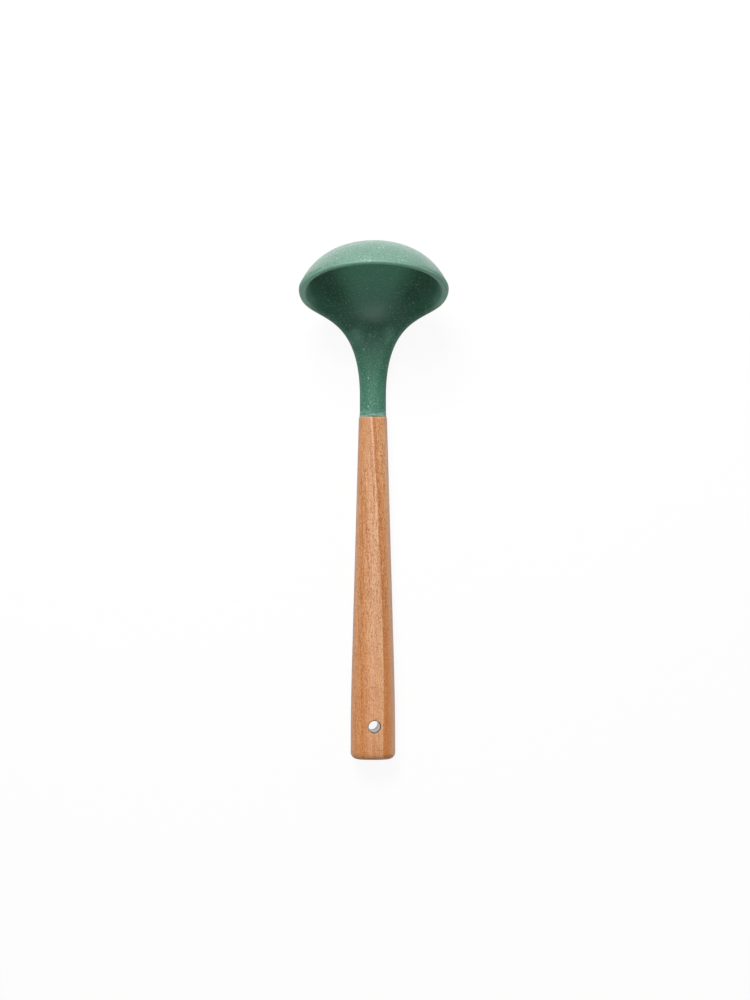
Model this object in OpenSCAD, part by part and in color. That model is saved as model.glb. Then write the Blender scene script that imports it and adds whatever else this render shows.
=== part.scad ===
// Gravy ladle: a silicone head moulded over a stiff core, on an oiled wood handle.
// It lies on its back: the handle runs along Y with the bowl at +Y, and the bowl's mouth
// faces up and towards the handle. The back of the handle lies on Z = 0.

/* [Bowl] */
// Radius of the rim, to the crest of its rounded edge
rim_r = 42; // [34:0.2:52]
// Angle between the plane of the rim and the handle
rim_tilt = 72.5; // [62:0.5:84]
// Distance of the rim's centre from the handle's end, along the handle
rim_rise = 69.8; // [62:0.2:90]
// Depth of the bowl below the rim, at the middle of its wall
bowl_depth = 24.3; // [18:0.1:32]
// How flat the bottom of the bowl is: 2 is a plain oval, more is flatter
bottom_flatness = 2.8; // [2:0.05:3]
// Share of an oval that the wall follows: nearer 1 is steeper at the rim
wall_steepness = 0.92; // [0.7:0.01:0.96]
// Thickness of the bowl's wall at the tip of its rim
wall_tip = 3.4; // [3:0.1:4.6]
// Thickness of the bowl's wall at the sides of its rim
wall_side = 4.6; // [3.8:0.1:5.6]
// Width of the rounding along the rim's edge, at its tip
round_tip = 1.7; // [0.6:0.1:2]
// Width of the rounding along the rim's edge, at its sides
round_side = 2.2; // [1.2:0.1:2.6]
// Squareness of the rim's rounded edge: 2 is plain round
rim_squareness = 2; // [2:0.1:4]

/* [Neck] */
// Width of the neck
neck_w = 15.7; // [13:0.1:22]
// Thickness of the neck, front to back
neck_t = 12.3; // [11:0.1:18]
// Length of the straight part of the neck, from the handle up
neck_straight = 12; // [6:0.5:20]
// How far the neck's foot swells on each side
foot_swell = 0.25; // [0:0.05:0.6]
// Height of the swollen foot
foot_h = 4; // [1:0.5:5]
// Pull of the edge as it leaves the middle of the rim
edge_pull_rim = 45; // [30:0.5:50]
// Pull of the edge as it comes down onto the neck
edge_pull_neck = 56; // [35:0.5:60]
// Pull of the bowl's back as it leaves the bottom of the bowl
back_pull_bowl = 33; // [20:0.5:40]
// Pull of the bowl's back as it comes down onto the neck
back_pull_neck = 62; // [45:0.5:70]

/* [Core] */
// Silicone over the core in the bowl
bowl_cover = 1.1; // [0.6:0.05:1.2]
// Silicone over the core in the neck
neck_cover = 1.5; // [0.8:0.05:2.2]
// Border of plain silicone between the rim's edge and the core
soft_rim = 4; // [2.5:0.1:10]

/* [Tang] */
// Length of the tang inside the handle
tang_l = 45; // [20:1:80]
// How far the tang's side lies in from the core's neck
tang_inset = 0.45; // [0.2:0.05:1.2]
// Number of glue grooves around the tang
groove_count = 5; // [2:1:8]
// Width of a glue groove
groove_w = 2.4; // [1.2:0.1:3]
// Depth of a glue groove
groove_depth = 0.6; // [0.3:0.05:1]
// Chamfer at the tang's end
tang_chamfer = 0.8; // [0.3:0.1:1.5]
// Thickness of the adhesive around the tang
glue_gap = 0.2; // [0.1:0.05:0.5]
// Adhesive below the tang's end
glue_end = 1.5; // [0.5:0.1:4]

/* [Handle] */
// Length of the handle
handle_l = 204.5; // [150:0.5:260]
// How far the handle's top stands out past the neck, on each side
handle_overhang = 0.6; // [0.3:0.1:2.5]
// Width of the handle at the butt
butt_w = 26.7; // [22:0.1:34]
// Thickness of the handle at the butt
butt_t = 20; // [17:0.1:26]
// Length over which the handle widens from its top
taper_l = 174; // [110:1:190]
// Length of the soft bend where the taper ends
taper_bend = 52; // [20:1:70]
// Squareness of the handle's oval section: 2 is a plain oval
squareness = 2.4; // [2:0.05:3]
// Depth of the flat planed along the handle's back, on which the ladle lies still
back_flat = 0.6; // [0.3:0.05:1.2]
// Rounding of the butt's edge
butt_round = 3.9; // [1:0.1:6]
// Rounding of the top's edge
top_round = 0.8; // [0.3:0.1:1.5]

/* [Hanging hole] */
// Clear diameter of the hole, inside its sleeve
hole_d = 7; // [5:0.1:10]
// Distance of the hole's centre from the butt
hole_from_butt = 20; // [14:0.5:40]
// Angle by which the hole leans to the right, towards the front
hole_lean = 5; // [0:0.5:8]
// Wall of the metal sleeve
sleeve_wall = 0.35; // [0.3:0.05:1]
// How far the sleeve's nearest edge stops below the wood's surface
sleeve_recess = 0.3; // [0.25:0.05:2]

/* [Hidden] */
$fn = 64;

// Grid of the head's surfaces: strips across the flat of a half, and strips round its edge
flat_strips = 8;
edge_strips = 4;
outer_flare_rows = 26;
core_flare_rows = 16;
foot_rows = 3;
// Largest share of a half width that the edge strips take, in the neck
most_edge_share = 0.55;
// Stretch of the flare, from the bowl to the neck, over which the wall thickens
thicken_from = 0.05;
thicken_to = 0.84;
// Step along the flare at which its slope is measured
slope_step = 0.001;
// Sides of the handle's section, rows along it and rows round its edges
handle_sides = 40;
handle_rows = 26;
round_rows = 5;

// Sizes that follow from the driving ones
top_w = neck_w + 2 * handle_overhang;
top_t = neck_t + 2 * handle_overhang;
tang_r = neck_t / 2 - neck_cover - tang_inset;
socket_r = tang_r + glue_gap;
socket_l = tang_l + glue_end;
sleeve_r = hole_d / 2 + sleeve_wall;
// How far the tang is rooted inside the core's neck
tang_root = neck_straight / 2;
// How far a cut runs past the face that it starts from
cut_over = 1;

function mix(a, b, k) = a + (b - a) * k;
function ease(k) = let (c = max(0, min(1, k))) c * c * (3 - 2 * c);
function unit(v) = v / norm(v);
function bezier(p, t) =
    pow(1 - t, 3) * p[0] + 3 * pow(1 - t, 2) * t * p[1] + 3 * (1 - t) * t * t * p[2] + t * t * t * p[3];

// Wall curve of the bowl: 0 at its bottom and 1 at the rim, for a share of the radius
oval_end = 1 - sqrt(1 - pow(wall_steepness, bottom_flatness));
function oval_root(r) = sqrt(1 - pow(wall_steepness * r, bottom_flatness));
function wall_curve(r) = (1 - oval_root(r)) / oval_end;
function wall_slope(r) =
    bottom_flatness * pow(wall_steepness, bottom_flatness) * pow(r, bottom_flatness - 1)
    / (2 * oval_root(r) * oval_end);

// The head is drawn with the handle's end at Y = 0 and the neck's middle at Z = 0
across = [1, 0, 0];
to_tip = [0, cos(rim_tilt), sin(rim_tilt)];
to_mouth = [0, -sin(rim_tilt), cos(rim_tilt)];
rim_centre = [0, rim_rise, rim_r * sin(rim_tilt)];
rim_corner = rim_centre + rim_r * across;
bowl_bottom = rim_centre - bowl_depth * to_mouth;
neck_top = [0, neck_straight, 0];
neck_up = [0, 1, 0];
neck_side = neck_top + neck_w / 2 * across;
edge_curve = [
    rim_corner,
    rim_corner - edge_pull_rim * to_tip,
    neck_side + edge_pull_neck * neck_up,
    neck_side
];
back_curve = [
    bowl_bottom,
    bowl_bottom - back_pull_bowl * to_tip,
    neck_top + back_pull_neck * neck_up,
    neck_top
];

// A layer of the head: cover taken off in the bowl and in the neck, and border at the rim
outer_layer = [0, 0, 0];
core_layer = [bowl_cover, neck_cover, soft_rim];
function thicken(t) = ease((t - thicken_from) / (thicken_to - thicken_from));
function half_thickness(layer, t) = mix(wall_side / 2 - layer[0], neck_t / 2 - layer[1], thicken(t));
function edge_width(layer, t) = mix(round_side, neck_w / 2 - layer[1], thicken(t));
function border(layer, t) = mix(layer[2], layer[1], thicken(t));

function edge_squareness(t) = mix(rim_squareness, 2, thicken(t));

// Half thickness at a distance in from the edge, which is rounded over its width
function rounded(inward, width, thickness, square) =
    let (k = 1 - max(0, min(1, inward / width))) thickness * pow(max(0, 1 - pow(k, square)), 1 / square);

// Shares of a half width, from its middle to its edge, with close steps round the edge
function half_steps(edge_share) = concat(
    [for (i = [0:flat_strips - 1]) (1 - edge_share) * i / flat_strips],
    [for (i = [0:edge_strips]) 1 - edge_share * (1 - sin(90 * i / edge_strips))]
);
function full_steps(edge_share) = let (half = half_steps(edge_share), n = len(half)) concat(
    [for (i = [n - 1:-1:1]) -half[i]],
    half
);

// A place on a layer is a pair: its front point and its back point
function pair(middle, normal, depth) = [middle + depth * normal, middle - depth * normal];

// Tip half of the bowl: a disc, in curved rows from its middle (v = 0) to the tip (v = 1)
rim_length = sqrt(rim_r * rim_r + pow(bowl_depth * wall_slope(1), 2));
function disc(u, v) = [u * sqrt(1 - v * v / 2), v * sqrt(1 - u * u / 2)];
function tip_place(layer, u, v) = let (
    reach = 1 - layer[2] / rim_length,
    at = reach * disc(u, v),
    r = norm(at),
    flat = at[0] * across + at[1] * to_tip,
    lean = r > 0 ? bowl_depth / rim_r * wall_slope(r) / r : 0,
    middle = rim_centre + rim_r * flat - bowl_depth * (1 - wall_curve(min(1, r))) * to_mouth,
    near_tip = ease(at[1]),
    thickness = mix(half_thickness(layer, 0), wall_tip / 2 - layer[0], near_tip),
    rounding = mix(round_side, round_tip, near_tip),
    depth = rounded((reach - r) * rim_length, rounding, thickness, rim_squareness)
) pair(middle, unit(to_mouth - lean * flat), depth);
function tip_rows(layer) = let (
    share = edge_width(layer, 0) / rim_length,
    steps = half_steps(share)
) [for (i = [1:len(steps) - 1]) [for (u = full_steps(share)) tip_place(layer, u, steps[i])]];

// Neck half of the bowl: trough-shaped sections between the edge curve and the back curve
function trough(t, u) = let (
    edge = bezier(edge_curve, t),
    back = bezier(back_curve, t),
    chord = [0, edge.y, edge.z]
) u * edge.x * across + mix(back, chord, wall_curve(abs(u)));
function flare_length(t) = let (
    edge = bezier(edge_curve, t),
    deep = norm(bezier(back_curve, t) - [0, edge.y, edge.z])
) norm([edge.x, deep * wall_slope(1)]);
function flare_place(layer, t, u) = let (
    length = flare_length(t),
    reach = 1 - border(layer, t) / length,
    at = reach * u,
    along = trough(t - slope_step, at) - trough(t + slope_step, at),
    sideways = trough(t, at + slope_step) - trough(t, at - slope_step),
    inward = (reach - abs(at)) * length,
    depth = rounded(inward, edge_width(layer, t), half_thickness(layer, t), edge_squareness(t))
) pair(trough(t, at), unit(cross(sideways, along)), depth);
function flare_rows(layer, rows) = [
    for (i = [0:rows]) let (
        t = 1 - i / rows,
        share = min(most_edge_share, edge_width(layer, t) / flare_length(t))
    ) [for (u = full_steps(share)) flare_place(layer, t, u)]
];

// Straight neck, with its swollen foot on the handle
function swell(y) = foot_swell * pow(max(0, 1 - y / foot_h), 2);
function neck_place(layer, y, u) = let (
    half_w = neck_w / 2 - layer[1] + swell(y),
    half_t = neck_t / 2 - layer[1] + swell(y)
) pair([u * half_w, y, 0], [0, 0, 1], half_t * sqrt(max(0, 1 - u * u)));
function neck_rows(layer) = [
    for (i = [0:foot_rows])
        [for (u = full_steps(most_edge_share)) neck_place(layer, foot_h * i / foot_rows, u)]
];

outer_grid =
    concat(neck_rows(outer_layer), flare_rows(outer_layer, outer_flare_rows), tip_rows(outer_layer));
core_grid =
    concat(neck_rows(core_layer), flare_rows(core_layer, core_flare_rows), tip_rows(core_layer));

// Points and triangles of a grid whose front and back meet along its edge
function grid_points(grid) = [for (side = [0, 1]) for (row = grid) for (place = row) place[side]];
function grid_index(grid, side, i, j) = let (
    rows = len(grid),
    columns = len(grid[0]),
    on_edge = j == 0 || j == columns - 1 || i == rows - 1
) (side == 1 && !on_edge ? rows * columns : 0) + i * columns + j;
function split(p, q, r, s, right) = right ? [[p, q, r], [p, r, s]] : [[q, r, s], [q, s, p]];
function grid_faces(grid, side) = [
    for (i = [0:len(grid) - 2]) for (j = [0:len(grid[0]) - 2]) each split(
        grid_index(grid, side, i, j),
        grid_index(grid, side, i, j + 1),
        grid_index(grid, side, i + 1, j + 1),
        grid_index(grid, side, i + 1, j),
        j >= (len(grid[0]) - 1) / 2
    )
];
function turned(faces) = [for (f = faces) [f[0], f[2], f[1]]];
function shifted(faces, by) = [for (f = faces) [for (k = f) k + by]];
function shell_faces(grid) = concat(turned(grid_faces(grid, 0)), grid_faces(grid, 1));
// Outline of a grid's first row, clockwise as seen from the handle
function foot_loop(grid) = let (last = len(grid[0]) - 1) concat(
    [for (j = [0:last]) grid_index(grid, 0, 0, j)],
    [for (j = [last - 1:-1:1]) grid_index(grid, 1, 0, j)]
);
function fan(loop) = [for (k = [1:len(loop) - 2]) [loop[0], loop[k], loop[k + 1]]];
function ring(outer, inner) = let (n = len(outer)) [
    for (k = [0:n - 1]) each split(outer[k], outer[(k + 1) % n], inner[(k + 1) % n], inner[k], true)
];

// Place of the head's end in the whole, whose box is centred on Y = 0
head_l = max([for (p = grid_points(outer_grid)) p.y]);
butt_y = -(handle_l + head_l) / 2;
joint_y = butt_y + handle_l;
neck_z = top_t / 2;

module at_joint() {
    translate([0, joint_y, neck_z]) children();
}

// Turns a shape drawn up the Z axis so that it runs down into the handle
module down_handle() {
    at_joint() rotate([90, 0, 0]) children();
}

// Side of the tang, as radius and depth from the joint
groove_pitch = tang_l / (groove_count + 1);
tang_side = concat(
    [[tang_r, 0]],
    [
        for (i = [1:groove_count]) each [
            [tang_r, i * groove_pitch - groove_w / 2],
            [tang_r - groove_depth, i * groove_pitch - groove_w / 4],
            [tang_r - groove_depth, i * groove_pitch + groove_w / 4],
            [tang_r, i * groove_pitch + groove_w / 2]
        ]
    ],
    [[tang_r, tang_l - tang_chamfer], [tang_r - tang_chamfer, tang_l], [0, tang_l]]
);

module silicone_head() {
    outer_points = grid_points(outer_grid);
    count = len(outer_points);
    cavity = shifted(turned(shell_faces(core_grid)), count);
    core_foot = [for (k = foot_loop(core_grid)) k + count];
    color([0.42, 0.6, 0.52]) at_joint() polyhedron(
        concat(outer_points, grid_points(core_grid)),
        concat(shell_faces(outer_grid), cavity, ring(foot_loop(outer_grid), core_foot))
    );
}

module head_core() {
    color([0.2, 0.2, 0.21]) union() {
        at_joint() polyhedron(
            grid_points(core_grid),
            concat(shell_faces(core_grid), fan(foot_loop(core_grid)))
        );
        down_handle() rotate_extrude() polygon(concat([[0, -tang_root], [tang_r, -tang_root]], tang_side));
    }
}

module tang_adhesive() {
    color([0.85, 0.78, 0.55]) down_handle() rotate_extrude() polygon(
        concat(tang_side, [[0, socket_l], [socket_r, socket_l], [socket_r, 0]])
    );
}

// Width and thickness of the handle at a distance from its top
bend_share = taper_bend / taper_l / 2;
function taper(s) = let (u = s / taper_l)
    u < 1 - bend_share ? u
    : u > 1 + bend_share ? 1
    : 1 - pow(1 + bend_share - u, 2) / (4 * bend_share);
function handle_w(s) = mix(top_w, butt_w, taper(s));
function handle_t(s) = mix(top_t, butt_t, taper(s));
function bent(c) = sign(c) * pow(abs(c), 2 / squareness);
function handle_loop(s, inset) = let (half_t = handle_t(s) / 2 - inset) [
    for (i = [0:handle_sides - 1]) let (
        a = 360 * i / handle_sides,
        up = bent(sin(a))
    ) [
        (handle_w(s) / 2 - inset) * bent(cos(a)),
        -s,
        handle_t(s) / 2 + (up > 0 ? half_t * up : max(-half_t, (half_t + back_flat) * up))
    ]
];
handle_loops = concat(
    [
        for (i = [0:round_rows - 1]) let (a = 90 * i / round_rows)
            handle_loop(top_round * (1 - cos(a)), top_round * (1 - sin(a)))
    ],
    [for (i = [0:handle_rows]) handle_loop(mix(top_round, handle_l - butt_round, i / handle_rows), 0)],
    [
        for (i = [1:round_rows]) let (a = 90 * i / round_rows)
            handle_loop(handle_l - butt_round * (1 - sin(a)), butt_round * (1 - cos(a)))
    ]
);

module handle_body() {
    last = len(handle_loops) - 1;
    loop_start = [for (j = [0:handle_sides - 1]) j];
    loop_end = [for (j = [handle_sides - 1:-1:0]) last * handle_sides + j];
    sides = [
        for (i = [0:last - 1]) for (j = [0:handle_sides - 1]) let (
            here = i * handle_sides,
            below = here + handle_sides,
            next = (j + 1) % handle_sides
        ) each split(here + j, below + j, below + next, here + next, true)
    ];
    translate([0, joint_y, 0]) polyhedron(
        [for (loop = handle_loops) each loop],
        concat(fan(loop_start), sides, fan(loop_end))
    );
}

hole_t = handle_t(handle_l - hole_from_butt);
hole_cut_l = 2 * hole_t;
sleeve_l = hole_t / cos(hole_lean) - 2 * (sleeve_r * tan(hole_lean) + sleeve_recess);
module at_hole() {
    translate([0, butt_y + hole_from_butt, hole_t / 2]) rotate([0, hole_lean, 0]) children();
}

module wood_handle() {
    color([0.79, 0.57, 0.39]) difference() {
        handle_body();
        at_hole() cylinder(r = sleeve_r, h = hole_cut_l, center = true);
        down_handle() translate([0, 0, -cut_over]) cylinder(r = socket_r, h = socket_l + cut_over);
    }
}

module hanging_sleeve() {
    color([0.7, 0.71, 0.72]) at_hole() difference() {
        cylinder(r = sleeve_r, h = sleeve_l, center = true);
        cylinder(r = hole_d / 2, h = hole_cut_l, center = true);
    }
}

silicone_head();
head_core();
tang_adhesive();
wood_handle();
hanging_sleeve();
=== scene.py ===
from math import cos, pi, radians, sin, sqrt

import bmesh
import bpy
import numpy as np
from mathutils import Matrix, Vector


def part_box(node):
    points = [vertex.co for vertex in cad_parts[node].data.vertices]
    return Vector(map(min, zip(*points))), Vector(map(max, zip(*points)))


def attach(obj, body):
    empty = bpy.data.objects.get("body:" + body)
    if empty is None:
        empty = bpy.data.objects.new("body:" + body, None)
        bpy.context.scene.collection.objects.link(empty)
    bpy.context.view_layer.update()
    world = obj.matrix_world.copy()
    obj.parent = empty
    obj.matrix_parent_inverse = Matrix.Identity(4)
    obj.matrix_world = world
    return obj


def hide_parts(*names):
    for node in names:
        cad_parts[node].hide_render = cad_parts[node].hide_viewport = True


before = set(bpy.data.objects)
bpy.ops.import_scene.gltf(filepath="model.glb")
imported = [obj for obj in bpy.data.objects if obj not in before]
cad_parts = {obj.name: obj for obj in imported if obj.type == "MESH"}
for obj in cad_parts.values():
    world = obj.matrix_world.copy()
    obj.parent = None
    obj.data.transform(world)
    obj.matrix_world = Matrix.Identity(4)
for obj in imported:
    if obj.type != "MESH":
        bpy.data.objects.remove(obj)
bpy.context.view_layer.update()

MM_PER_M = 1000

# Sizes of the ladle in millimetres, as in the part's source
RIM_R = 42.0
RIM_TILT = radians(72.5)
RIM_RISE = 69.8
BOWL_DEPTH = 24.3
BOTTOM_FLATNESS = 2.8
WALL_STEEPNESS = 0.92
WALL_TIP = 3.4
WALL_SIDE = 4.6
ROUND_TIP = 1.7
ROUND_SIDE = 2.2
RIM_SQUARENESS = 2.0
NECK_W = 15.7
NECK_T = 12.3
NECK_STRAIGHT = 12.0
FOOT_SWELL = 0.25
FOOT_H = 4.0
EDGE_PULLS = (45.0, 56.0)
BACK_PULLS = (33.0, 62.0)
BOWL_COVER = 1.1
NECK_COVER = 1.5
SOFT_RIM = 4.0
THICKEN = (0.05, 0.84)
HANDLE_L = 204.5
HANDLE_OVERHANG = 0.6
BUTT_W = 26.7
BUTT_T = 20.0
TAPER_L = 174.0
TAPER_BEND = 52.0
SQUARENESS = 2.4
BACK_FLAT = 0.6
BUTT_ROUND = 3.9
TOP_ROUND = 0.8
SOCKET_R = 4.4
SOCKET_L = 46.5
HOLE_R = 3.5
SLEEVE_R = 3.85
SLEEVE_L = 18.716
HOLE_FROM_BUTT = 20.0
HOLE_LEAN = radians(5)
TOP_W = NECK_W + 2 * HANDLE_OVERHANG
TOP_T = NECK_T + 2 * HANDLE_OVERHANG

# The handle's end, where the head starts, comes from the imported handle
JOINT_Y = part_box("wood_handle")[1].y * MM_PER_M
NECK_Z = TOP_T / 2


def mix(a, b, k):
    return a + (b - a) * k


def ease(k):
    k = np.clip(k, 0, 1)
    return k * k * (3 - 2 * k)


# Meshes

def make_piece(name, points, faces, finish, node, sharp=40):
    """One piece of the ladle, from points in millimetres, that stands for a node of the part."""
    mesh = bpy.data.meshes.new(name)
    mesh.from_pydata([Vector(p) / MM_PER_M for p in points], [], faces)
    tidy = bmesh.new()
    tidy.from_mesh(mesh)
    bmesh.ops.recalc_face_normals(tidy, faces=tidy.faces)
    tidy.to_mesh(mesh)
    tidy.free()
    mesh.shade_smooth()
    mesh.set_sharp_from_angle(angle=radians(sharp))
    mesh.materials.append(finish)
    piece = bpy.data.objects.new(name, mesh)
    bpy.context.scene.collection.objects.link(piece)
    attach(piece, "root")
    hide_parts(node)


# Silicone head: a grid of places, each with a front and a back point

OVAL_END = 1 - sqrt(1 - WALL_STEEPNESS ** BOTTOM_FLATNESS)
ACROSS = np.array([1.0, 0, 0])
TO_TIP = np.array([0, cos(RIM_TILT), sin(RIM_TILT)])
TO_MOUTH = np.array([0, -sin(RIM_TILT), cos(RIM_TILT)])
RIM_CENTRE = np.array([0, RIM_RISE, RIM_R * sin(RIM_TILT)])
RIM_CORNER = RIM_CENTRE + RIM_R * ACROSS
BOWL_BOTTOM = RIM_CENTRE - BOWL_DEPTH * TO_MOUTH
NECK_UP = np.array([0, 1.0, 0])
NECK_TOP = NECK_STRAIGHT * NECK_UP
NECK_SIDE = NECK_TOP + NECK_W / 2 * ACROSS
EDGE = (RIM_CORNER, RIM_CORNER - EDGE_PULLS[0] * TO_TIP, NECK_SIDE + EDGE_PULLS[1] * NECK_UP, NECK_SIDE)
BACK = (BOWL_BOTTOM, BOWL_BOTTOM - BACK_PULLS[0] * TO_TIP, NECK_TOP + BACK_PULLS[1] * NECK_UP, NECK_TOP)

FLAT_STRIPS = 18
EDGE_STRIPS = 9
MOST_EDGE_SHARE = 0.55

# Rows of the foot and of the flare, on the silicone's outside and against the core
OUTSIDE_ROWS = (6, 72)
INSIDE_ROWS = (3, 30)


def bezier(p, t):
    return (1 - t) ** 3 * p[0] + 3 * (1 - t) ** 2 * t * p[1] + 3 * (1 - t) * t * t * p[2] + t ** 3 * p[3]


def oval_root(r):
    return sqrt(1 - (WALL_STEEPNESS * r) ** BOTTOM_FLATNESS)


def wall_curve(r):
    return (1 - oval_root(r)) / OVAL_END


def wall_slope(r):
    steep = BOTTOM_FLATNESS * WALL_STEEPNESS ** BOTTOM_FLATNESS * r ** (BOTTOM_FLATNESS - 1)
    return steep / (2 * oval_root(r) * OVAL_END)


def rounded(inward, width, thickness, squareness):
    k = 1 - min(1, max(0, inward / width))
    return thickness * max(0, 1 - k ** squareness) ** (1 / squareness)


class Layer:
    """A skin of the head: the silicone's outside, or the core under it."""

    def __init__(self, bowl_cover, neck_cover, border):
        self.bowl_cover = bowl_cover
        self.neck_cover = neck_cover
        self.border = border

    def thicken(self, t):
        return ease((t - THICKEN[0]) / (THICKEN[1] - THICKEN[0]))

    def half_thickness(self, t):
        return mix(WALL_SIDE / 2 - self.bowl_cover, NECK_T / 2 - self.neck_cover, self.thicken(t))

    def edge_width(self, t):
        return mix(ROUND_SIDE, NECK_W / 2 - self.neck_cover, self.thicken(t))

    def border_at(self, t):
        return mix(self.border, self.neck_cover, self.thicken(t))

    def squareness(self, t):
        return mix(RIM_SQUARENESS, 2, self.thicken(t))


def half_steps(edge_share):
    flat = [(1 - edge_share) * i / FLAT_STRIPS for i in range(FLAT_STRIPS)]
    return flat + [1 - edge_share * (1 - sin(pi / 2 * i / EDGE_STRIPS)) for i in range(EDGE_STRIPS + 1)]


def full_steps(edge_share):
    half = half_steps(edge_share)
    return [-k for k in half[:0:-1]] + half


def pair(middle, normal, depth):
    return middle + depth * normal, middle - depth * normal


RIM_LENGTH = sqrt(RIM_R ** 2 + (BOWL_DEPTH * wall_slope(1)) ** 2)


def tip_place(layer, u, v):
    reach = 1 - layer.border / RIM_LENGTH
    at = reach * np.array([u * sqrt(1 - v * v / 2), v * sqrt(1 - u * u / 2)])
    r = min(1, float(np.hypot(*at)))
    flat = at[0] * ACROSS + at[1] * TO_TIP
    lean = BOWL_DEPTH / RIM_R * wall_slope(r) / r if r > 0 else 0
    middle = RIM_CENTRE + RIM_R * flat - BOWL_DEPTH * (1 - wall_curve(r)) * TO_MOUTH
    normal = TO_MOUTH - lean * flat
    near_tip = ease(at[1])
    thickness = mix(layer.half_thickness(0), WALL_TIP / 2 - layer.bowl_cover, near_tip)
    rounding = mix(ROUND_SIDE, ROUND_TIP, near_tip)
    depth = rounded((reach - r) * RIM_LENGTH, rounding, thickness, RIM_SQUARENESS)
    return pair(middle, normal / np.linalg.norm(normal), depth)


def trough(t, u):
    edge = bezier(EDGE, t)
    chord = np.array([0, edge[1], edge[2]])
    return u * edge[0] * ACROSS + mix(bezier(BACK, t), chord, wall_curve(abs(u)))


def flare_length(t):
    edge = bezier(EDGE, t)
    deep = np.linalg.norm(bezier(BACK, t) - np.array([0, edge[1], edge[2]]))
    return float(np.hypot(edge[0], deep * wall_slope(1)))


def flare_place(layer, t, u):
    step = 0.001
    length = flare_length(t)
    reach = 1 - layer.border_at(t) / length
    at = reach * u
    along = trough(t - step, at) - trough(t + step, at)
    sideways = trough(t, at + step) - trough(t, at - step)
    normal = np.cross(sideways, along)
    inward = (reach - abs(at)) * length
    depth = rounded(inward, layer.edge_width(t), layer.half_thickness(t), layer.squareness(t))
    return pair(trough(t, at), normal / np.linalg.norm(normal), depth)


def neck_place(layer, y, u):
    swell = FOOT_SWELL * max(0, 1 - y / FOOT_H) ** 2
    half_w = NECK_W / 2 - layer.neck_cover + swell
    half_t = NECK_T / 2 - layer.neck_cover + swell
    return pair(np.array([u * half_w, y, 0]), np.array([0, 0, 1.0]), half_t * sqrt(max(0, 1 - u * u)))


def head_grid(layer, foot_rows, flare_rows):
    rows = [[neck_place(layer, FOOT_H * i / foot_rows, u) for u in full_steps(MOST_EDGE_SHARE)]
            for i in range(foot_rows + 1)]
    for i in range(flare_rows + 1):
        t = 1 - i / flare_rows
        share = min(MOST_EDGE_SHARE, layer.edge_width(t) / flare_length(t))
        rows.append([flare_place(layer, t, u) for u in full_steps(share)])
    share = layer.edge_width(0) / RIM_LENGTH
    for v in half_steps(share)[1:]:
        rows.append([tip_place(layer, u, v) for u in full_steps(share)])
    return rows


def skin(grid, start):
    """Points and faces of a grid whose front and back meet along its edge, and the loop round its foot."""
    rows, columns = len(grid), len(grid[0])
    points, index = [], {}
    for side in (0, 1):
        for i in range(rows):
            for j in range(columns):
                on_edge = j in (0, columns - 1) or i == rows - 1
                if side and on_edge:
                    index[side, i, j] = index[0, i, j]
                    continue
                index[side, i, j] = start + len(points)
                points.append(grid[i][j][side] + np.array([0, JOINT_Y, NECK_Z]))
    faces = []
    for side in (0, 1):
        for i in range(rows - 1):
            for j in range(columns - 1):
                corners = [index[side, i, j], index[side, i, j + 1],
                           index[side, i + 1, j + 1], index[side, i + 1, j]]
                faces.append(list(dict.fromkeys(corners)))
    foot = [index[0, 0, j] for j in range(columns)]
    foot += [index[1, 0, j] for j in range(columns - 2, 0, -1)]
    return points, faces, foot


def make_head(finish):
    core_layer = Layer(BOWL_COVER, NECK_COVER, SOFT_RIM)
    outside, faces, outer_foot = skin(head_grid(Layer(0, 0, 0), *OUTSIDE_ROWS), 0)
    inside, inner_faces, inner_foot = skin(head_grid(core_layer, *INSIDE_ROWS), len(outside))
    count = len(outer_foot)
    ring = [[outer_foot[k], outer_foot[(k + 1) % count], inner_foot[(k + 1) % count], inner_foot[k]]
            for k in range(count)]
    faces = faces + inner_faces + ring
    make_piece("ladle_head", outside + inside, faces, finish, "silicone_head")


# Wood handle: a loft of rounded sections, with the hanging hole and the tang's socket

HANDLE_SIDES = 96
HOLE_COLUMNS = 8
HOLE_ROWS = 14
HOLE_MARGIN = 8.0
HOLE_EDGE = 0.35
HOLE_EDGE_STRIPS = 4
HOLE_AT = HANDLE_L - HOLE_FROM_BUTT
ROUND_ROWS = 8
UPPER_ROWS = 100
LOWER_ROWS = 6

# Shares of the way from a patch's border to the hole, and from the butt's edge to its middle
PATCH_STEPS = (0.25, 0.47, 0.66, 0.82, 0.93)
BUTT_STEPS = (0.3, 0.6, 0.85)


def taper(s):
    bend = TAPER_BEND / TAPER_L / 2
    u = s / TAPER_L
    if u < 1 - bend:
        return u
    return 1 if u > 1 + bend else 1 - (1 + bend - u) ** 2 / (4 * bend)


def handle_w(s):
    return mix(TOP_W, BUTT_W, taper(s))


def handle_t(s):
    return mix(TOP_T, BUTT_T, taper(s))


def bent(c):
    return np.sign(c) * abs(c) ** (2 / SQUARENESS)


def section_height(half_t, up):
    """Height in the handle's section, whose back is planed flat, for a share up or down of its oval."""
    return half_t * up if up > 0 else max(-half_t, (half_t + BACK_FLAT) * up)


def handle_loop(s, inset):
    half_w, half_t = handle_w(s) / 2 - inset, handle_t(s) / 2 - inset
    angles = [2 * pi * j / HANDLE_SIDES for j in range(HANDLE_SIDES)]
    return [(half_w * bent(cos(a)), JOINT_Y - s, handle_t(s) / 2 + section_height(half_t, bent(sin(a))))
            for a in angles]


def handle_height(x, y, side):
    """Height of the handle's front (side 1) or back (side -1) above the floor."""
    s = JOINT_Y - y
    half_t = handle_t(s) / 2
    share = min(1, abs(x) / (handle_w(s) / 2))
    return half_t + section_height(half_t, side * (1 - share ** SQUARENESS) ** (1 / SQUARENESS))


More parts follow.
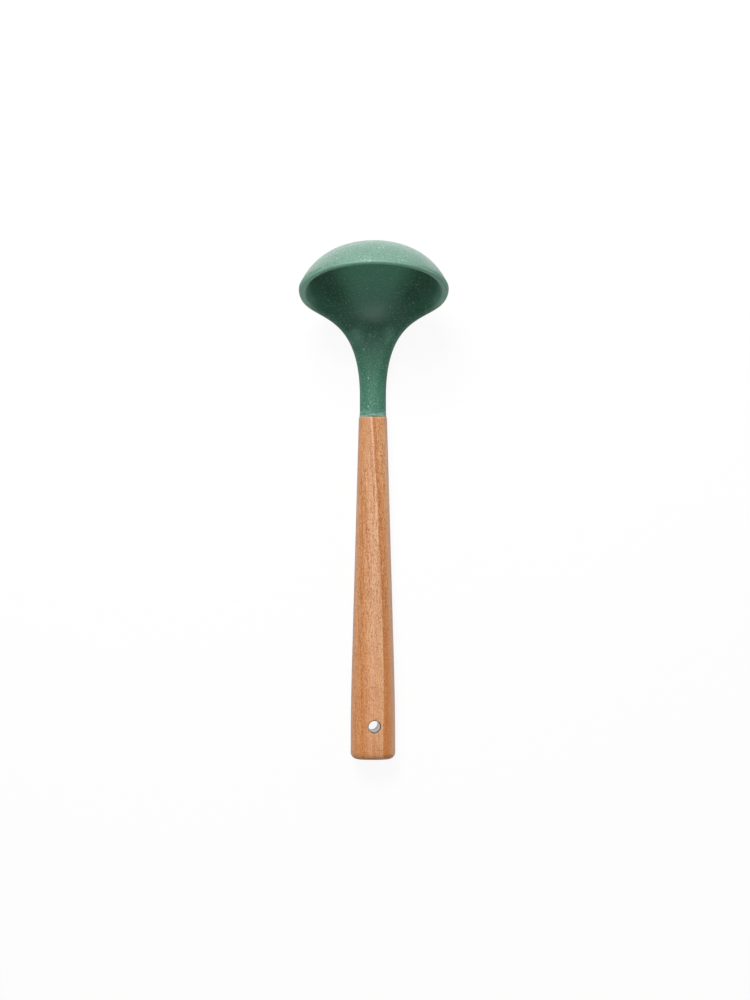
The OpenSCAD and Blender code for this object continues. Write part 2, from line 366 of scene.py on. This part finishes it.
HOLE_CENTRE = np.array([0, JOINT_Y - HOLE_AT, handle_t(HOLE_AT) / 2])
HOLE_AXIS = np.array([sin(HOLE_LEAN), 0, cos(HOLE_LEAN)])
HOLE_RIGHT = np.array([cos(HOLE_LEAN), 0, -sin(HOLE_LEAN)])


def hole_point(radius, turn, side, drop):
    """A point of the hole at a depth below the handle's front or back."""
    around = HOLE_CENTRE + radius * (cos(turn) * HOLE_RIGHT + sin(turn) * NECK_UP)
    travel = side * handle_t(HOLE_AT) / 2
    corrections = 8
    for _ in range(corrections):
        at = around + travel * HOLE_AXIS
        travel += (handle_height(at[0], at[1], side) - at[2]) / HOLE_AXIS[2]
    return around + (travel - side * drop) * HOLE_AXIS


def handle_rows():
    """Distance from the top and inset of each row, and the row at which the hole's patch starts."""
    turns = [pi / 2 * i / ROUND_ROWS for i in range(ROUND_ROWS + 1)]
    patch_start, patch_end = HOLE_AT - HOLE_MARGIN, HOLE_AT + HOLE_MARGIN
    top = [(TOP_ROUND * (1 - cos(a)), TOP_ROUND * (1 - sin(a))) for a in turns[:-1]]
    upper = [(s, 0) for s in np.linspace(TOP_ROUND, patch_start, UPPER_ROWS)]
    hole = [(s, 0) for s in np.linspace(patch_start, patch_end, HOLE_ROWS + 1)[1:]]
    lower = [(s, 0) for s in np.linspace(patch_end, HANDLE_L - BUTT_ROUND, LOWER_ROWS)[1:]]
    butt = [(HANDLE_L - BUTT_ROUND * (1 - sin(a)), BUTT_ROUND * (1 - cos(a))) for a in turns[1:]]
    first = len(top) + len(upper) - 1
    return top + upper + hole + lower + butt, first


def make_handle(finish):
    rows, first = handle_rows()
    points = [p for s, inset in rows for p in handle_loop(s, inset)]
    sides, last = HANDLE_SIDES, len(rows) - 1
    faces, rims = [], []

    def at(i, j):
        return i * sides + j % sides

    def add_loop(loop):
        points.extend(loop)
        return list(range(len(points) - len(loop), len(points)))

    def join(a, b):
        for k in range(len(a)):
            n = (k + 1) % len(a)
            faces.append([a[k], a[n], b[n], b[k]])

    # The hole's two mouths take the place of a patch of the front and of the back
    patch_rows = range(first, first + HOLE_ROWS)
    patches = {}
    for side, middle in ((1, sides // 4), (-1, 3 * sides // 4)):
        patches[side] = range(middle - HOLE_COLUMNS, middle + HOLE_COLUMNS)
    left_out = {(i, j) for columns in patches.values() for i in patch_rows for j in columns}
    for i in range(last):
        for j in range(sides):
            if (i, j) not in left_out:
                faces.append([at(i, j), at(i + 1, j), at(i + 1, j + 1), at(i, j + 1)])
    for side, columns in patches.items():
        j0, j1 = columns[0], columns[-1] + 1
        i0, i1 = patch_rows[0], patch_rows[-1] + 1
        border = [at(i0, j) for j in range(j0, j1)] + [at(i, j1) for i in range(i0, i1)]
        border += [at(i1, j) for j in range(j1, j0, -1)] + [at(i, j0) for i in range(i1, i0, -1)]
        mouth = HOLE_CENTRE + side * handle_t(HOLE_AT) / 2 / HOLE_AXIS[2] * HOLE_AXIS
        turns = [np.arctan2(points[k][1] - mouth[1], points[k][0] - mouth[0]) for k in border]
        edge = [hole_point(SLEEVE_R + HOLE_EDGE, turn, side, 0) for turn in turns]
        loop = border
        for step in PATCH_STEPS:
            ring = []
            for k, rim in zip(border, edge):
                x, y = mix(points[k][0], rim[0], step), mix(points[k][1], rim[1], step)
                ring.append((x, y, handle_height(x, y, side)))
            ring = add_loop(ring)
            join(loop, ring)
            loop = ring
        for i in range(HOLE_EDGE_STRIPS + 1):
            a = pi / 2 * i / HOLE_EDGE_STRIPS
            radius, drop = SLEEVE_R + HOLE_EDGE * (1 - sin(a)), HOLE_EDGE * (1 - cos(a))
            ring = add_loop([hole_point(radius, turn, side, drop) for turn in turns])
            join(loop, ring)
            loop = ring
        rims.append((turns, loop))

    # The front's wall meets the back's wall point by point, in order of turn
    ordered = []
    for turns, loop in rims:
        order = sorted(range(len(turns)), key=lambda k: turns[k])
        ordered.append([loop[k] for k in order])
    join(ordered[0], ordered[1])

    # Socket for the tang, and the flat butt
    top_loop = [at(0, j) for j in range(sides)]
    turns = [2 * pi * j / sides for j in range(sides)]
    mouth = add_loop([(SOCKET_R * cos(a), JOINT_Y, NECK_Z + SOCKET_R * sin(a)) for a in turns])
    floor = add_loop([(SOCKET_R * cos(a), JOINT_Y - SOCKET_L, NECK_Z + SOCKET_R * sin(a)) for a in turns])
    join(top_loop, mouth)
    join(mouth, floor)
    faces.append(floor)
    loop = [at(last, j) for j in range(sides)]
    middle = np.array([0, JOINT_Y - HANDLE_L, BUTT_T / 2])
    for step in BUTT_STEPS:
        ring = add_loop([tuple(mix(np.array(points[at(last, j)]), middle, step)) for j in range(sides)])
        join(loop, ring)
        loop = ring
    faces.append(loop)
    make_piece("ladle_handle", points, faces, finish, "wood_handle", sharp=50)


# Metal sleeve: a tube with softly rounded lips

def make_sleeve(finish):
    sides, lip_rows = 72, 5
    lip = (SLEEVE_R - HOLE_R) / 2
    half_l = SLEEVE_L / 2 - lip
    profile = []
    for end in (1, -1):
        for i in range(lip_rows + 1):
            a = pi * i / lip_rows
            profile.append((HOLE_R + lip + end * lip * cos(a), end * (half_l + lip * sin(a))))
    points, faces = [], []
    for radius, along in profile:
        for k in range(sides):
            a = 2 * pi * k / sides
            points.append(HOLE_CENTRE + radius * (cos(a) * HOLE_RIGHT + sin(a) * NECK_UP) + along * HOLE_AXIS)
    count = len(profile)
    for i in range(count):
        for k in range(sides):
            n, below = (k + 1) % sides, (i + 1) % count
            faces.append([i * sides + k, i * sides + n, below * sides + n, below * sides + k])
    make_piece("ladle_sleeve", points, faces, finish, "hanging_sleeve")


# Finishes

class Flow:
    """A value, colour or vector on its way through a finish's nodes; sums with it add nodes."""

    def __init__(self, finish, socket):
        self.finish = finish
        self.socket = socket

    def maths(self, operation, *values):
        return self.finish.node("Math", {"operation": operation}, dict(enumerate(values)))

    def __add__(self, other):
        return self.maths("ADD", self, other)

    def __sub__(self, other):
        return self.maths("SUBTRACT", self, other)

    def __rsub__(self, other):
        return self.maths("SUBTRACT", other, self)

    def __mul__(self, other):
        return self.maths("MULTIPLY", self, other)

    def __truediv__(self, other):
        return self.maths("DIVIDE", self, other)

    def __pow__(self, other):
        return self.maths("POWER", self, other)

    def __abs__(self):
        return self.maths("ABSOLUTE", self)

    __radd__ = __add__
    __rmul__ = __mul__

    def at_least(self, low):
        return self.maths("MAXIMUM", self, low)

    def at_most(self, high):
        return self.maths("MINIMUM", self, high)

    def between(self, low, high):
        """0 at low and 1 at high, with a soft run between them."""
        settings = {"interpolation_type": "SMOOTHSTEP"}
        return self.finish.node("MapRange", settings, {"Value": self, "From Min": low, "From Max": high})


class Finish:
    """The nodes of a material or of the world."""

    def __init__(self, owner):
        owner.use_nodes = True
        self.owner = owner
        self.tree = owner.node_tree
        self.tree.nodes.clear()

    def node(self, kind, settings, sockets, out=0):
        made = self.tree.nodes.new("ShaderNode" + kind)
        for name, value in settings.items():
            if name == "stops":
                stops = made.color_ramp.elements
                while len(stops) < len(value):
                    stops.new(1)
                for stop, (place, colour) in zip(stops, value):
                    stop.position = place
                    stop.color = colour
            else:
                setattr(made, name, value)
        for name, value in sockets.items():
            if isinstance(value, Flow):
                self.tree.links.new(value.socket, made.inputs[name])
            else:
                made.inputs[name].default_value = value
        return Flow(self, made.outputs[out]) if made.outputs else None

    def place(self):
        """Where on the ladle, in millimetres."""
        here = self.node("TexCoord", {}, {}, "Object")
        return self.node("VectorMath", {"operation": "SCALE"}, {0: here, "Scale": MM_PER_M})

    def parts(self, vector):
        split = self.node("SeparateXYZ", {}, {"Vector": vector})
        return [Flow(self, socket) for socket in split.socket.node.outputs]

    def stretched(self, vector, x, y, z):
        return self.node("VectorMath", {"operation": "MULTIPLY"}, {0: vector, 1: (x, y, z)})

    def noise(self, vector, scale=1.0, detail=2.0, roughness=0.5):
        sockets = {"Vector": vector, "Scale": scale, "Detail": detail, "Roughness": roughness}
        return self.node("TexNoise", {}, sockets)

    def cells(self, vector, scale):
        """Distance from the middle of a cell, and the cell's own chance from 0 to 1."""
        sockets = {"Vector": vector, "Scale": scale}
        colour = self.node("TexVoronoi", {}, sockets, "Color")
        return self.node("TexVoronoi", {}, sockets), self.node("SeparateColor", {}, {"Color": colour})

    def blend(self, share, colour, other):
        """A colour that goes over to another one by a share."""
        return self.node("Mix", {"data_type": "RGBA"}, {0: share, 6: colour, 7: other}, 2)

    def bump(self, height, strength, distance):
        return self.node("Bump", {}, {"Height": height, "Strength": strength, "Distance": distance})

    def looked_at(self):
        """1 for rays that look straight, by reflection or through glass, and 0 for light that spreads."""
        rays = self.node("LightPath", {}, {}).socket.node.outputs
        looks = [Flow(self, rays[name]) for name in ("Is Camera Ray", "Is Glossy Ray", "Is Transmission Ray")]
        return sum(looks).at_most(1)

    def surface(self, sockets):
        shader = self.node("BsdfPrincipled", {}, sockets)
        self.node("OutputMaterial", {}, {"Surface": shader})
        return self.owner


def new_finish(name):
    return Finish(bpy.data.materials.new(name))


def tint(red, green, blue):
    """A colour from its display values."""
    linear = [(v / 255 / 12.92) if v < 11 else ((v / 255 + 0.055) / 1.055) ** 2.4 for v in (red, green, blue)]
    return (*linear, 1.0)


def silicone():
    """Matte green silicone with a powdery grain, specks of dust, and painted light and shade outside, inside
    and at its foot.
    """
    f = new_finish("matte_silicone")
    here = f.place()
    x, y, z = f.parts(here)
    backward, upward = f.parts(f.node("NewGeometry", {}, {}, "Normal"))[1:]

    # Powdery grain, slow clouds of colour and scattered specks
    grain = f.noise(here, 1.0, 2.0, 0.55)
    fine = f.noise(here, 2.2, 1.0, 0.5)
    cloud = f.noise(here, 0.05, 2.0, 0.5)
    from_speck, chance = f.cells(here, 0.38)
    specks = (1 - from_speck.between(0.08, 0.19)) * chance.between(0.82, 0.96)

    # Places by their distance up from the joint and above the plane of the mouth, in millimetres
    from_joint = y - JOINT_Y
    bend, valley = 62, 49
    above_mouth = cos(RIM_TILT) * (z - RIM_CENTRE[2] - NECK_Z) - sin(RIM_TILT) * (from_joint - RIM_CENTRE[1])

    # Painted highlight on the rim's crest, painted light on its lips, palest at the mouth's corners, and a
    # pale painted sheen outside
    painted_crest_highlight = abs(above_mouth).between(1.3, 0.2) * backward.between(-0.4, 0.2) * z.between(20, 36)
    painted_lip_light = above_mouth.between(-7, -0.3) * backward.between(0.3, -0.2) * z.between(18, 34)
    painted_lip_light = painted_lip_light * (0.62 + 0.34 * abs(x).between(24, 40))
    outside = (backward + 0.5 * z.between(66, 84)).between(0.1, 0.6)
    outside = outside * (0.16 + 0.34 * upward.between(0.7, 0.1)) * (0.7 + 0.6 * fine.between(0.38, 0.62))

    # Inside the bowl, a fan of painted light up the middle, and painted shade on the deeper sides beside it
    painted_light_fan = (abs(x) - 0.4 * from_joint).between(-5, -24)
    middle = painted_light_fan * from_joint.between(bend - 9, bend) * backward.between(0.3, 0.0)
    deep = above_mouth.between(-4, -12) * (1 - painted_light_fan) * backward.between(0.3, 0.0)

    # Painted highlights on the bend and on lobes beside the valley in front of it, painted light on the neck,
    # and a painted highlight at its foot
    painted_bend_highlight = abs(x).between(13, 0) * abs(from_joint - bend).between(9, 0) * upward.between(0, 0.3)
    painted_lobe_highlights = abs(abs(x) - 10).between(6, 0) * abs(from_joint - valley).between(8, 0) * upward.between(0, 0.3)
    painted_neck_light = from_joint.between(40, 12)
    painted_foot_highlight = from_joint.between(5, 0.5) * f.noise(f.stretched(here, 0.12, 0.8, 0.12)).between(0.3, 0.6)

    # Colours, from the moulding itself through painted shade and painted light to the grain and specks on it
    # The pale painted light: sheen outside, and highlights on the crest, the bend and the lobes
    painted_pale_light = (outside + 0.7 * painted_crest_highlight + 0.23 * painted_bend_highlight + 0.04 * painted_lobe_highlights).at_most(1)
    colour = f.blend(cloud.between(0.35, 0.65), tint(54, 108, 86), tint(60, 114, 92))
    # Painted shade on the bowl's sides, then painted light up the middle, on the lobes, neck and lips,
    # outside and at the foot
    colour = f.blend(deep * 0.9, colour, tint(34, 86, 62))
    colour = f.blend((middle + 0.9 * painted_lobe_highlights + 0.25 * painted_neck_light).at_most(1), colour, tint(84, 146, 120))
    colour = f.blend(painted_lip_light, colour, tint(122, 174, 150))
    colour = f.blend(painted_pale_light, colour, tint(198, 206, 203))
    colour = f.blend(painted_foot_highlight * 0.9, colour, tint(150, 180, 176))
    colour = f.blend(grain.between(0.5, 0.7) * 0.4, colour, tint(140, 182, 164))
    colour = f.blend(fine.between(0.48, 0.34) * 0.35, colour, tint(30, 76, 56))
    colour = f.blend(specks * 0.9, colour, tint(196, 212, 203))
    return f.surface({
        "Base Color": colour,
        "Roughness": 0.48 + 0.12 * grain,
        "Normal": f.bump(grain * 0.6 + fine * 0.4, 0.5, 0.0002),
        "Specular IOR Level": 0.35,
    })


def oiled_wood():
    """Orange-brown wood: a pale growth line with a darker band beside it, streaks, fibres and pores."""
    f = new_finish("oiled_wood")
    here = f.place()
    x, y, z = f.parts(here)

    # Growth rings go round a pith under the handle's left; the main line drifts to the right
    pith_left, pith_under = 25.0, 22.0
    rightmost, rightmost_y, line_bend = 5.3, -125, 0.0001925
    drift = f.noise(f.stretched(here, 0.03, 0.012, 0.03), 1.0, 2.0, 0.4)
    waver = f.noise(f.stretched(here, 0.3, 0.03, 0.3), 1.0, 2.0, 0.5)
    line = rightmost - line_bend * (y - rightmost_y) ** 2 + 0.8 * (drift - 0.5)
    rise = f.node("MapRange", {}, {"Value": y, "From Min": JOINT_Y, "From Max": JOINT_Y - TAPER_L,
                                   "To Min": TOP_T, "To Max": BUTT_T})
    beside = x - line + pith_left
    above = z - rise + pith_under
    past = (beside * beside + above * above) ** 0.5 - sqrt(pith_left ** 2 + pith_under ** 2)
    past = past + 0.4 * (waver - 0.5)

    # Colour by the distance past the main line, in millimetres
    first, last = -14.0, 10.0
    shades = [
        (-14, (202, 138, 88)),
        (-10.5, (206, 143, 91)),
        (-8.5, (195, 127, 75)),
        (-6.5, (206, 142, 90)),
        (-4.5, (211, 154, 108)),
        (-2.2, (213, 158, 114)),
        (-0.9, (219, 167, 123)),
        (-0.3, (229, 183, 143)),
        (-0.05, (226, 178, 136)),
        (0.3, (184, 112, 59)),
        (1.6, (199, 132, 76)),
        (3.4, (208, 148, 96)),
        (4.4, (214, 157, 108)),
        (4.9, (185, 117, 66)),
        (6.2, (210, 154, 106)),
        (10, (214, 163, 120)),
    ]
    stops = [((mm - first) / (last - first), tint(*shade)) for mm, shade in shades]
    colour = f.node("ValToRGB", {"stops": stops}, {"Fac": (past - first) / (last - first)})

    # Long soft streaks along the rings, and fibres along the grain
    along = f.node("CombineXYZ", {}, {"X": past, "Y": y * 0.012, "Z": z * 0.05})
    streak = f.noise(along, 0.9, 3.0, 0.6)
    colour = f.blend(streak.between(0.5, 0.36) * 0.6, colour, tint(178, 105, 53))
    colour = f.blend(streak.between(0.53, 0.66) * 0.45, colour, tint(214, 160, 113))
    fibre = f.noise(f.stretched(here, 1.5, 0.12, 1.5), 1.0, 4.0, 0.65)
    colour = f.blend(fibre.between(0.5, 0.37) * 0.5, colour, tint(166, 100, 55))
    colour = f.blend(fibre.between(0.52, 0.65) * 0.45, colour, tint(222, 174, 130))
    stipple = f.noise(f.stretched(here, 2.0, 0.8, 2.0), 1.0, 2.0, 0.6)
    colour = f.blend(stipple.between(0.47, 0.35) * 0.7, colour, tint(146, 85, 49))
    colour = f.blend(stipple.between(0.54, 0.68) * 0.45, colour, tint(230, 186, 146))

    # Short dark pores along the grain, closer together beside the main line and in a row near the right edge
    crowd = 0.22 * past.between(5.0, 5.8) * past.between(8.5, 7.4) + 0.08 * past.between(-0.2, 0.4)
    from_pore, chance = f.cells(f.stretched(here, 1.15, 0.3, 1.15), 1.0)
    pores = (1 - from_pore.between(0.14, 0.3)) * (chance + crowd).between(0.7, 0.86)
    colour = f.blend(pores * 0.65, colour, tint(112, 64, 40))

    # The wood is browner at the top left and the lower right, and warmer towards the butt
    top_left = y.between(JOINT_Y - 45, JOINT_Y - 10) * past.between(0, -1)
    low_right = y.between(-30, -110) * past.between(0, 0.6)
    colour = f.blend(0.35 * top_left, colour, tint(190, 126, 76))
    colour = f.blend(0.3 * low_right, colour, tint(176, 98, 40))
    colour = f.blend(0.2 * y.between(-50, -140), colour, tint(224, 138, 62))

    # Sides facing sideways get a pale painted sheen, the right one most, and end grain is darker
    sideways, backward = f.parts(f.node("NewGeometry", {}, {}, "Normal"))[:2]
    painted_side_sheen = 0.5 * sideways.between(0.45, 0.95) + 0.15 * sideways.between(-0.45, -0.95)
    colour = f.blend(painted_side_sheen, colour, tint(222, 186, 158))
    end = abs(backward).between(0.55, 0.98)
    colour = f.blend(end * 0.5, colour, tint(146, 86, 48))
    return f.surface({
        "Base Color": colour,
        "Roughness": 0.46 + 0.14 * fibre + 0.12 * pores,
        "Normal": f.bump(0.5 * fibre + 0.3 * stipple - pores, 0.3, 0.0002),
        "Specular IOR Level": 0.4,
        "Coat Weight": 0.25,
        "Coat Roughness": 0.25,
    })


def drawn_steel():
    """Steel tube with fine marks round it, a painted highlight in its middle, and painted shade and painted
    reflections of the wood towards both lips.
    """
    f = new_finish("drawn_steel")
    here = f.place()
    z = f.parts(here)[2]
    marks = f.noise(f.stretched(here, 0.15, 0.15, 9.0), 1.0, 3.0, 0.6)
    smudge = f.noise(here, 0.5, 2.0, 0.5)
    height = z / BUTT_T + 0.06 * (smudge - 0.5)
    # Painted shade and brownish painted reflections of the wood at both lips, and a painted highlight in the
    # middle
    stops = [
        (0.0, tint(112, 98, 92)),
        (0.4, tint(140, 127, 119)),
        (0.52, tint(176, 171, 168)),
        (0.6, tint(212, 211, 210)),
        (0.72, tint(206, 204, 204)),
        (0.85, tint(112, 106, 110)),
        (1.0, tint(78, 72, 76)),
    ]
    colour = f.node("ValToRGB", {"stops": stops}, {"Fac": height})
    colour = f.blend(marks.between(0.3, 0.7) * 0.3, colour, tint(222, 222, 224))
    return f.surface({
        "Base Color": colour,
        "Metallic": 1.0,
        "Roughness": 0.22 + 0.12 * marks + 0.1 * smudge,
        "Normal": f.bump(marks, 0.1, 0.0001),
    })


def moulded_nylon():
    """Dark moulded nylon of the core, with a faint flow pattern."""
    f = new_finish("moulded_nylon")
    here = f.place()
    flow = f.noise(f.stretched(here, 0.25, 0.06, 0.25), 1.0, 3.0, 0.55)
    grain = f.noise(here, 2.5, 2.0, 0.6)
    colour = f.blend(flow.between(0.35, 0.65), tint(52, 53, 56), tint(66, 67, 70))
    return f.surface({
        "Base Color": colour,
        "Roughness": 0.45 + 0.2 * grain,
        "Normal": f.bump(grain, 0.2, 0.0002),
    })


def cured_adhesive():
    """Amber cured adhesive with small bubbles."""
    f = new_finish("cured_adhesive")
    here = f.place()
    bubbles = 1 - f.cells(here, 0.9)[0].between(0.1, 0.25)
    cloud = f.noise(here, 0.3, 2.0, 0.5)
    colour = f.blend(cloud.between(0.35, 0.65), tint(196, 168, 112), tint(214, 190, 136))
    colour = f.blend(bubbles * 0.5, colour, tint(232, 218, 180))
    return f.surface({
        "Base Color": colour,
        "Roughness": 0.25 + 0.2 * cloud,
        "Normal": f.bump(bubbles, 0.3, 0.0002),
    })


make_head(silicone())
make_handle(oiled_wood())
make_sleeve(drawn_steel())
for node, finish in (("head_core", moulded_nylon()), ("tang_adhesive", cured_adhesive())):
    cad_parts[node].data.materials.clear()
    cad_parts[node].data.materials.append(finish)


# Stage: white floor and world, soft lamps, and the camera above, in metres

WHITE = (1, 1, 1, 1)


def make_floor(half):
    """A floor that looks white with a faint shadow, and lights the ladle as grey paper would."""
    f = new_finish("white_floor")
    looks = f.looked_at()
    paper = f.blend(looks, (0.5, 0.5, 0.5, 1), (0.9, 0.9, 0.9, 1))
    paper = f.node("BsdfDiffuse", {}, {"Color": paper})
    white = f.node("Emission", {}, {"Color": WHITE, "Strength": 1.0})

    # The shadow fades with the distance, in millimetres, so that the floor's far edge doesn't show
    x, y = f.parts(f.place())[:2]
    shadow_end, white_from = 300, 900
    far = (x * x + y * y).between(shadow_end ** 2, white_from ** 2)
    shader = f.node("MixShader", {}, {0: looks * (0.92 + 0.08 * far), 1: paper, 2: white})
    f.node("OutputMaterial", {}, {"Surface": shader})

    mesh = bpy.data.meshes.new("floor")
    corners = [(-half, -half, 0), (half, -half, 0), (half, half, 0), (-half, half, 0)]
    mesh.from_pydata(corners, [], [(0, 1, 2, 3)])
    mesh.materials.append(f.owner)
    floor = bpy.data.objects.new("floor", mesh)
    bpy.context.scene.collection.objects.link(floor)


def make_world(dark):
    """A studio that is white behind the bowl and at the horizon, and darkens to a level elsewhere."""
    world = bpy.data.worlds.new("studio")
    bpy.context.scene.world = world
    f = Finish(world)
    back, up = f.parts(f.node("TexCoord", {}, {}, "Generated"))[1:]
    glow = (back.between(-0.5, 0.6) * up.between(0.5, 0.12)).at_least(up.between(0.1, 0.02))
    strength = dark + (1 - dark) * glow
    sky = f.node("Background", {}, {"Color": WHITE, "Strength": strength})
    f.node("OutputWorld", {}, {"Surface": sky})


def make_lamp(name, place, aim, size, level):
    """A soft lamp that lights a surface facing it at its aim to a level, where 1 shows white as white."""
    way = Vector(aim) - Vector(place)
    lamp = bpy.data.lights.new(name, "AREA")
    lamp.shape = "RECTANGLE"
    lamp.size, lamp.size_y = size
    lamp.energy = level * (pi * way.length) ** 2
    holder = bpy.data.objects.new(name, lamp)
    holder.location = place
    holder.rotation_euler = way.to_track_quat("-Z", "Y").to_euler()
    bpy.context.scene.collection.objects.link(holder)


def make_camera(x, y, z, lean):
    """A camera that looks down with the bowl at the top of the picture, and leans to the right."""
    camera = bpy.data.cameras.new("camera")
    camera.sensor_width = 36
    camera.lens = 69
    holder = bpy.data.objects.new("camera", camera)
    holder.location = (x, y, z)
    holder.rotation_euler = (0, -lean, 0)
    bpy.context.scene.collection.objects.link(holder)
    bpy.context.scene.camera = holder


make_floor(half=4)
make_world(dark=0.05)
make_lamp("key_lamp", place=(-0.2, 0.7, 0.9), aim=(0, 0.05, 0.03), size=(0.5, 0.45), level=1.08)
make_lamp("back_lamp", place=(0.3, 0.95, 0.28), aim=(0, 0.14, 0.05), size=(1.4, 0.5), level=0.46)
make_lamp("front_lamp", place=(0, -0.75, 0.75), aim=(0, 0.12, 0.03), size=(0.2, 0.9), level=0.12)
make_lamp("top_lamp", place=(0, -0.15, 1.5), aim=(0, 0.1, 0), size=(0.2, 0.35), level=0.13)
make_camera(x=-0.0147, y=(JOINT_Y - 49.8) / MM_PER_M, z=1.15675, lean=radians(0.795))
bpy.context.scene.view_settings.view_transform = "Standard"
